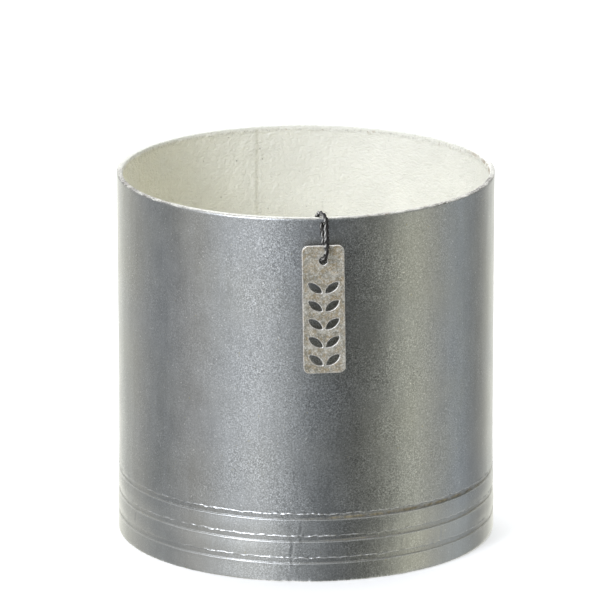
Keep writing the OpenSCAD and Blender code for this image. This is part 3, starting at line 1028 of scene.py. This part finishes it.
def hair(root, out, along, length, radius, rng):
    """Points and faces of one loose fibre that stands off the cord"""
    rows, corners = 6, 4
    points = []
    bend = rng.uniform(-0.7, 0.7)
    for i in range(rows):
        t = i / (rows - 1)
        at = root + out * (0.55 * length * math.sin(t * 1.25))
        at = at + along * (length * t * (0.75 + bend * t))
        slim = radius * (1 - 0.75 * t)
        for k in range(corners):
            a = 2 * math.pi * k / corners
            points.append(at + slim * (math.cos(a) * np.cross(out, along) + math.sin(a) * out))
    return points, tube_faces(rows, corners)


def cord_piece(name, tubes, hairs, seed):
    """One mesh from twisted tubes, with loose fibres on them"""
    points, faces, crown, maps = [], [], [], []
    rng = np.random.default_rng(seed)
    for tube_points, sides, tube_crown, (rows, corners, run) in tubes:
        start = len(points)
        points += list(tube_points)
        faces += [[v + start for v in f] for f in sides]
        crown += list(tube_crown)
        maps.append((start, rows, corners, run))
    body = np.array(points)
    for start, rows, corners, run in maps:
        for _ in range(round(hairs * run[-1])):
            row, k = rng.integers(2, rows - 2), rng.integers(0, corners)
            ring = body[start + row * corners : start + (row + 1) * corners]
            middle = ring.mean(0)
            out = ring[k] - middle
            out /= np.linalg.norm(out)
            ahead = body[start + (row + 1) * corners : start + (row + 2) * corners].mean(0) - middle
            ahead = ahead / np.linalg.norm(ahead) * rng.choice((-1, 1))
            slant = np.cross(out, ahead) * rng.uniform(-0.8, 0.8) + ahead
            slant = slant - out * (slant @ out)
            slant /= np.linalg.norm(slant)
            some, sides = hair(
                ring[k] - out * 0.08, out, slant, rng.uniform(0.35, 1.0), rng.uniform(0.018, 0.03), rng
            )
            base = len(points)
            points += some
            faces += [[v + base for v in f] for f in sides]
            crown += [0.4] * len(some)
    piece = new_piece(name, np.array(points) * MM, faces, waxed_finish(), {"crown": crown})
    lay_map(piece.data, maps)
    return piece


def hanging_cord():
    """The whole visible cord as one twisted tube, which bends where it leaves the rim"""
    s = settings()
    line = smooth_route(CORD_ROUTE_MM, 0.13)
    tube = twisted_tube(line, CORD_R, s.cord_strands, s.cord_lay / MM)
    piece = cord_piece("waxed_cord", [tube], 2.2, 7)
    return piece, line * MM


def wrapped_knot():
    """The knot: two wraps round both strands, and two cut tails that fray at their tips"""
    s = settings()
    lay = s.cord_lay / MM
    middle = np.array(KNOT_MM)
    t = np.linspace(-0.15, 2.25, 110)[:, None]
    angle = 2 * math.pi * t + 0.6
    wide = 1.22 - 0.5 * eased(np.abs(t - 1.05), 0.95, 1.25)
    fall = 1.3 - 1.22 * t + 0.1 * np.sin(angle)
    wraps = middle + np.concatenate([wide * np.cos(angle), wide * 0.96 * np.sin(angle), fall], 1)
    over = middle + np.array(KNOT_OVER)
    tubes = [twisted_tube(smooth_route(wraps, 0.14), WRAP_R, s.cord_strands, lay)]
    tubes.append(twisted_tube(smooth_route(over, 0.14), OVER_R, s.cord_strands, lay, phase=1.0))
    for k, tail in enumerate(KNOT_TAILS_MM):
        line = smooth_route(tail, 0.14)
        tubes.append(twisted_tube(line, TAIL_R, s.cord_strands, lay, phase=2.0 * k))
        tip, way = line[-4], line[-1] - line[-6]
        way = way / np.linalg.norm(way)
        for j in range(s.cord_strands + 2):
            a = 2 * math.pi * j / (s.cord_strands + 2) + k
            out = np.array([math.cos(a), 0.6 * math.sin(a), 0.15 * math.sin(2 * a)])
            out = out - way * (out @ way)
            reach = 0.75 + 0.35 * math.sin(3.1 * j + k)
            strand = [tip - 0.4 * way + 0.22 * out, tip + 0.2 * way + 0.3 * out,
                      tip + 0.7 * reach * way + 0.5 * out, tip + 1.25 * reach * way + 0.85 * out]
            tubes.append(
                twisted_tube(smooth_route(strand, 0.12), STRAND_R, 2, 1.1, corners=10, ends=0.2)
            )
    return cord_piece("cord_knot_tied", tubes, 2.0, 11)


# ---------------------------------------------------------------- tag


def tag_outline_distance(x, z):
    """Distance inside the tag's edge, with z measured from the middle of its hole"""
    from_middle_z = z - (TAG_TOP - TAG_L / 2)
    qx = np.abs(x) - (TAG_W / 2 - TAG_CORNER)
    qz = np.abs(from_middle_z) - (TAG_L / 2 - TAG_CORNER)
    outside = np.hypot(np.maximum(qx, 0), np.maximum(qz, 0))
    return TAG_CORNER - outside - np.minimum(np.maximum(qx, qz), 0)


def leaf_bows():
    """The two arc centres of each leaf, and the radius of all the arcs"""
    radius = ((LEAF_L / 2) ** 2 + (LEAF_W / 2) ** 2) / LEAF_W
    bows = []
    for i in range(LEAF_PAIRS):
        stem = np.array([STEM_W / 2, TAG_TOP - LEAF_FIRST - (i + 1) * LEAF_PITCH])
        turn_c, turn_s = math.cos(LEAF_TILT), math.sin(LEAF_TILT)
        turn = np.array([[turn_c, -turn_s], [turn_s, turn_c]])
        ends = [stem + turn @ np.array(p) for p in
                ((LEAF_L / 2, radius - LEAF_W / 2), (LEAF_L / 2, LEAF_W / 2 - radius))]
        for side in (1, -1):
            bows.append([np.array([side * e[0], e[1]]) for e in ends])
    return bows, radius


def pierced_distance(x, z):
    """Distance outside the nearest leaf or the cord hole; below 0 inside one"""
    bows, radius = leaf_bows()
    nearest = np.hypot(x, z) - TAG_HOLE_R
    for one, two in bows:
        from_arcs = [np.hypot(x - middle[0], z - middle[1]) for middle in (one, two)]
        nearest = np.minimum(nearest, np.maximum(*from_arcs) - radius)
    return nearest


def outline_curve(curve, points):
    """Adds one closed outline to a flat curve"""
    spline = curve.splines.new("POLY")
    spline.points.add(len(points) - 1)
    spline.use_cyclic_u = True
    for point, (x, z) in zip(spline.points, points, strict=True):
        point.co = (x * MM, z * MM, 0, 1)


def tag_blank():
    """The flat tag with its bevel, its cord hole and its leaves cut through, as a mesh"""
    curve = bpy.data.curves.new("tag_blank", "CURVE")
    curve.dimensions, curve.fill_mode = "2D", "BOTH"
    bevel = 0.14
    curve.extrude, curve.bevel_depth, curve.offset = (TAG_T / 2 - bevel) * MM, bevel * MM, -bevel * MM
    curve.bevel_resolution = 1
    border = []
    for cx, cz, start in ((1, 1, 0), (-1, 1, 90), (-1, -1, 180), (1, -1, 270)):
        for k in range(9):
            a = math.radians(start + 90 * k / 8)
            border.append(
                (cx * (TAG_W / 2 - TAG_CORNER) + TAG_CORNER * math.cos(a),
                 TAG_TOP - TAG_L / 2 + cz * (TAG_L / 2 - TAG_CORNER) + TAG_CORNER * math.sin(a))
            )
    outline_curve(curve, border)
    outline_curve(curve, [
        (TAG_HOLE_R * math.cos(2 * math.pi * k / 40), TAG_HOLE_R * math.sin(2 * math.pi * k / 40))
        for k in range(40)
    ])
    _, radius = leaf_bows()
    half = math.asin(LEAF_L / 2 / radius)
    for i in range(LEAF_PAIRS):
        stem = (STEM_W / 2, TAG_TOP - LEAF_FIRST - (i + 1) * LEAF_PITCH)
        for side in (1, -1):
            leaf = []
            for way in (1, -1):
                for k in range(13):
                    a = half * (2 * k / 13 - 1) * way
                    v = way * (radius * math.cos(a) - (radius - LEAF_W / 2))
                    leaf.append((LEAF_L / 2 + radius * math.sin(a), v))
            turn_c, turn_s = math.cos(LEAF_TILT), math.sin(LEAF_TILT)
            outline_curve(curve, [
                (side * (stem[0] + u * turn_c - v * turn_s), stem[1] + u * turn_s + v * turn_c)
                for u, v in leaf
            ])
    blank = bpy.data.objects.new("tag_blank", curve)
    bpy.context.scene.collection.objects.link(blank)
    bpy.context.view_layer.update()
    mesh = bpy.data.meshes.new_from_object(
        blank.evaluated_get(bpy.context.evaluated_depsgraph_get())
    )
    bpy.data.objects.remove(blank)
    bpy.data.curves.remove(curve)
    return mesh


def tag_piece():
    """The cast tag: soft bevels, a raised rim, hammered faces and pierced leaves"""
    piece = bpy.data.objects.new("pewter_tag", tag_blank())
    bpy.context.scene.collection.objects.link(piece)
    weld = piece.modifiers.new("weld", "WELD")
    weld.merge_threshold = 0.002 * MM
    dense = piece.modifiers.new("dense", "REMESH")
    dense.mode, dense.voxel_size = "VOXEL", 0.17 * MM
    soft = piece.modifiers.new("soft", "SMOOTH")
    soft.factor, soft.iterations = 0.5, 3
    settle(piece)
    mesh = piece.data
    count = len(mesh.vertices)
    at = np.zeros(count * 3)
    mesh.vertices.foreach_get("co", at)
    at = at.reshape(-1, 3) / MM
    x, z, through = at[:, 0], at[:, 1], -at[:, 2]
    inside, off = tag_outline_distance(x, z), pierced_distance(x, z)
    face = eased(np.abs(through), 0.3, 0.45)
    flat = np.stack([x, z, through * 3], -1)
    hammered = 0.035 * lumps(flat, 3.4, 140) + 0.03 * lumps(flat, 1.3, 141)
    hammered = hammered + 0.02 * lumps(flat, 0.6, 142)
    border_up = 0.03 * (1 - eased(inside, 0.3, 0.7))
    lip_up = 0.035 * (1 - eased(off, 0.2, 0.45))
    sunk = -0.02 * eased(inside, 0.5, 1.0)
    lift = face * (hammered + np.maximum(border_up, lip_up) + sunk)
    edge_wave = 0.05 * lumps(flat, 2.2, 143) * (1 - face)
    out = np.stack([x * (1 + edge_wave / 12), through + np.sign(through) * lift, z], -1)
    # Wear and painted highlight along the tag's border and its leaf lips.
    worn = np.clip((1 - eased(np.abs(inside - 0.1), 0.06, 0.24)) * 0.5
                   + face * (1 - eased(np.abs(off - 0.12), 0.05, 0.22)) * 0.8, 0, 1)
    hollow = np.clip((1 - face) * (1 - eased(off, 0.0, 0.25)), 0, 1)
    hang = Vector(TAG_HANG_MM) * MM
    placed = Matrix.Translation(hang) @ Matrix.Rotation(-TAG_LEAN, 4, "Y") @ Matrix.Translation(
        (0, 0, -TAG_BELOW_HANG * MM)
    )
    mesh.vertices.foreach_set("co", (out * MM).astype(np.float32).ravel())
    mesh.transform(placed)
    for key, values in (("worn", worn), ("hollow", hollow)):
        layer = mesh.attributes.new(key, "FLOAT", "POINT")
        layer.data.foreach_set("value", values.astype(np.float32))
    mesh.shade_smooth()
    mesh.materials.clear()
    mesh.materials.append(pewter_finish())
    return piece


# ---------------------------------------------------------------- stage


def soft_light(name, place, aim, size, power, colour):
    """A rectangular soft light that looks at a point"""
    lamp = bpy.data.lights.new(name, "AREA")
    lamp.shape, lamp.size, lamp.size_y = "RECTANGLE", size[0], size[1]
    lamp.energy = power * settings().light_power
    lamp.color = colour
    obj = bpy.data.objects.new(name, lamp)
    obj.location = place
    obj.rotation_euler = (Vector(aim) - Vector(place)).to_track_quat("-Z", "Y").to_euler()
    bpy.context.scene.collection.objects.link(obj)
    obj.visible_camera = False
    return obj


def studio_floor():
    """A wide flat disc of paper under the tin"""
    around, rings = 160, 24
    out = np.linspace(0, 1, rings) ** 3 * 40
    out[0] = 0.001
    angle = np.arange(around) * 2 * math.pi / around
    x, y = out[:, None] * np.cos(angle), out[:, None] * np.sin(angle)
    points = np.stack([x, y, np.full_like(x, -0.00002)], -1).reshape(-1, 3)
    faces = ring_faces(rings, around, closed=False)[:, ::-1].tolist()
    faces.append(list(range(around)))
    return new_piece("floor", points, faces, floor_finish())


def studio_surround():
    """Soft cards and dark gaps round the tin, which give the zinc its upright bands"""
    world = bpy.data.worlds.new("studio")
    world.use_nodes = True
    f = Finish("studio", world.node_tree)
    way = f.node("ShaderNodeTexCoord", {}, out="Generated")
    turned_way = f.node(
        "ShaderNodeVectorRotate", {"rotation_type": "Z_AXIS"}, Vector=way,
        Angle=math.radians(-FRONT_AT),
    )
    x = f.node("ShaderNodeSeparateXYZ", {}, turned_way, out="X")
    y = f.node("ShaderNodeSeparateXYZ", {}, turned_way, out="Y")
    up = f.node("ShaderNodeSeparateXYZ", {}, way, out="Z")
    turn = f.node("ShaderNodeMath", {"operation": "ARCTAN2"}, y, x) * (0.5 / math.pi) + 0.5
    stops = [((at + 180) / 360, tuple(level * c for c in tint)) for at, level, tint in SURROUND]
    around = f.ramp(turn, *stops)
    high = f.ramp(up, (0.25, 0), (0.8, 1))
    sky = world.node_tree.nodes["Background"]
    f.feed(sky.inputs["Color"], f.mix(high, around, SKY_TOP))
    sky.inputs["Strength"].default_value = 1.0
    return world


# ---------------------------------------------------------------- operators


class CANDLETIN_OT_camera(bpy.types.Operator):
    """Set up the camera in front of the tin"""

    bl_idname = "candle_tin.camera"
    bl_label = "Camera"
    bl_options = {"REGISTER", "UNDO"}

    def execute(self, context):
        data = bpy.data.cameras.new("camera")
        data.lens, data.sensor_width = LENS, SENSOR
        data.shift_x, data.shift_y = SHIFT
        data.clip_start, data.clip_end = 0.1, 100
        camera = bpy.data.objects.new("camera", data)
        side, tilt = math.radians(CAMERA_SIDE), math.radians(CAMERA_TILT)
        camera.location = (
            math.sin(side) * CAMERA_AWAY, -math.cos(side) * CAMERA_AWAY, CAMERA_UP
        )
        camera.rotation_euler = (math.pi / 2 - tilt, 0, side)
        context.scene.collection.objects.link(camera)
        context.scene.camera = camera
        return {"FINISHED"}


class CANDLETIN_OT_cord(bpy.types.Operator):
    """Make the waxed cord that the tag hangs from"""

    bl_idname = "candle_tin.cord"
    bl_label = "Cord"
    bl_options = {"REGISTER", "UNDO"}

    def execute(self, context):
        piece, line = hanging_cord()
        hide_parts("cord_loop", "cord_hole_run", "cord_rim_turn")
        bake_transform(piece)
        context.scene["cord_line"] = [float(c) for c in line.ravel()]
        return {"FINISHED"}


class CANDLETIN_OT_knot(bpy.types.Operator):
    """Make the knot behind the wall, with its two cut ends"""

    bl_idname = "candle_tin.knot"
    bl_label = "Knot"
    bl_options = {"REGISTER", "UNDO"}

    def execute(self, context):
        knot = wrapped_knot()
        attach(knot, "tin")
        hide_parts("cord_knot")
        return {"FINISHED"}


class CANDLETIN_OT_wall(bpy.types.Operator):
    """Make the zinc wall with its grooves"""

    bl_idname = "candle_tin.wall"
    bl_label = "Zinc Wall"
    bl_options = {"REGISTER", "UNDO"}

    def execute(self, context):
        wall = zinc_wall()
        drill(wall)
        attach(wall, "tin")
        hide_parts("wall_shell")
        return {"FINISHED"}


class CANDLETIN_OT_lining(bpy.types.Operator):
    """Make the pale coat inside the wall and over its rim"""

    bl_idname = "candle_tin.lining"
    bl_label = "Pale Lining"
    bl_options = {"REGISTER", "UNDO"}

    def execute(self, context):
        lining = pale_lining()
        drill(lining)
        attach(lining, "tin")
        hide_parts("wall_lining")
        return {"FINISHED"}


class CANDLETIN_OT_base(bpy.types.Operator):
    """Make the base: its plate, its coat and the bead round it"""

    bl_idname = "candle_tin.base"
    bl_label = "Base"
    bl_options = {"REGISTER", "UNDO"}

    def execute(self, context):
        coat = base_coat()
        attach(coat, "tin")
        bead = seal_bead()
        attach(bead, "tin")
        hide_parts("base_seal")
        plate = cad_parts["base_plate"]
        finish = base_finish()
        for k in range(len(plate.material_slots)):
            plate.material_slots[k].material = finish
        return {"FINISHED"}


class CANDLETIN_OT_tag(bpy.types.Operator):
    bl_idname = "candle_tin.tag"
    bl_label = "Tag"
    bl_options = {"REGISTER", "UNDO"}

    def execute(self, context):
        tag = tag_piece()
        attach(tag, "tag")
        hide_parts("tag")
        return {"FINISHED"}


class CANDLETIN_OT_stage(bpy.types.Operator):
    """Lay the pale floor and set the soft lights"""

    bl_idname = "candle_tin.stage"
    bl_label = "Stage"
    bl_options = {"REGISTER", "UNDO"}

    def execute(self, context):
        floor = studio_floor()
        floor.visible_glossy = False
        context.scene.world = studio_surround()
        soft_light("key", (-1.25, -1.3, 1.2), (0, 0, 0.08), (0.7, 1.2), 29, LAMP_TINT)
        soft_light("top", (0.1, 0.5, 1.7), (0, 0.1, 0), (1.6, 1.2), 24, LAMP_TINT)
        context.scene.view_settings.view_transform = "Standard"
        return {"FINISHED"}


class CANDLETIN_PT_panel(bpy.types.Panel):
    """Sidebar panel of the candle tin"""

    bl_idname = "CANDLETIN_PT_panel"
    bl_label = "Candle Tin"
    bl_space_type = "VIEW_3D"
    bl_region_type = "UI"
    bl_category = "Candle Tin"

    def draw(self, context):
        layout = self.layout
        for key in CandleTinSettings.__annotations__:
            layout.prop(context.scene.candle_tin, key)
        for maker in MAKERS:
            layout.operator(maker.bl_idname)


MAKERS = (
    CANDLETIN_OT_camera,
    CANDLETIN_OT_cord,
    CANDLETIN_OT_knot,
    CANDLETIN_OT_wall,
    CANDLETIN_OT_lining,
    CANDLETIN_OT_base,
    CANDLETIN_OT_tag,
    CANDLETIN_OT_stage,
)
CLASSES = (CandleTinSettings, *MAKERS, CANDLETIN_PT_panel)


def register():
    for cls in CLASSES:
        bpy.utils.register_class(cls)
    bpy.types.Scene.candle_tin = PointerProperty(type=CandleTinSettings)


def unregister():
    del bpy.types.Scene.candle_tin
    for cls in reversed(CLASSES):
        bpy.utils.unregister_class(cls)


def plain(box):
    return [[float(c) for c in corner] for corner in box]


def main():
    register()
    for maker in MAKERS:
        group, name = maker.bl_idname.split(".")
        getattr(getattr(bpy.ops, group), name)()


if __name__ == "__main__":
    main()
